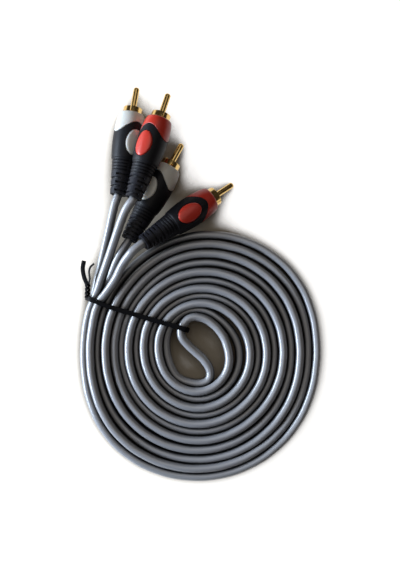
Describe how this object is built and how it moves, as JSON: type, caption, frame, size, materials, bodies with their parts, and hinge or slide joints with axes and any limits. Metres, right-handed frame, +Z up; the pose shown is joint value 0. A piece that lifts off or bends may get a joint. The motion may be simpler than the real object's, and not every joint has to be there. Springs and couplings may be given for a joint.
{
  "type": "rca audio cable",
  "caption": "Stereo audio cable: a grey twin lead wound into a flat coil and tied, with a white and a red moulded phono plug on each end.",
  "frame": {"origin": "under the middle of the cable's bounding box, on the surface that the coil rests on", "axes": "+Z up from the surface, +Y from the coil towards the plugs, +X to the right seen from above with the plugs at the top"},
  "size_m": [0.128, 0.2046, 0.0266],
  "materials": {
    "gold": "gold plated, polished",
    "insulator": "satin",
    "white_core": "satin gloss",
    "red_core": "satin gloss",
    "black_skin": "satin",
    "wire_jacket": "satin",
    "jacket": "satin, soft vinyl",
    "tie": "satin"
  },
  "bodies": {
    "root": {"white_1_centre_pin": "gold", "white_1_insulator": "insulator", "white_1_ground_shell": "gold", "white_1_colour_core": "white_core", "white_1_boot": "black_skin", "white_1_signal_wire": "wire_jacket", "white_1_lead": "jacket", "red_1_centre_pin": "gold", "red_1_insulator": "insulator", "red_1_ground_shell": "gold", "red_1_colour_core": "red_core", "red_1_boot": "black_skin", "red_1_signal_wire": "wire_jacket", "red_1_lead": "jacket", "white_2_centre_pin": "gold", "white_2_insulator": "insulator", "white_2_ground_shell": "gold", "white_2_colour_core": "white_core", "white_2_boot": "black_skin", "white_2_signal_wire": "wire_jacket", "white_2_lead": "jacket", "red_2_centre_pin": "gold", "red_2_insulator": "insulator", "red_2_ground_shell": "gold", "red_2_colour_core": "red_core", "red_2_boot": "black_skin", "red_2_signal_wire": "wire_jacket", "red_2_lead": "jacket", "coil": "jacket", "centre_stretch": "jacket", "twist_tie": "tie"}
  },
  "joints": []
}
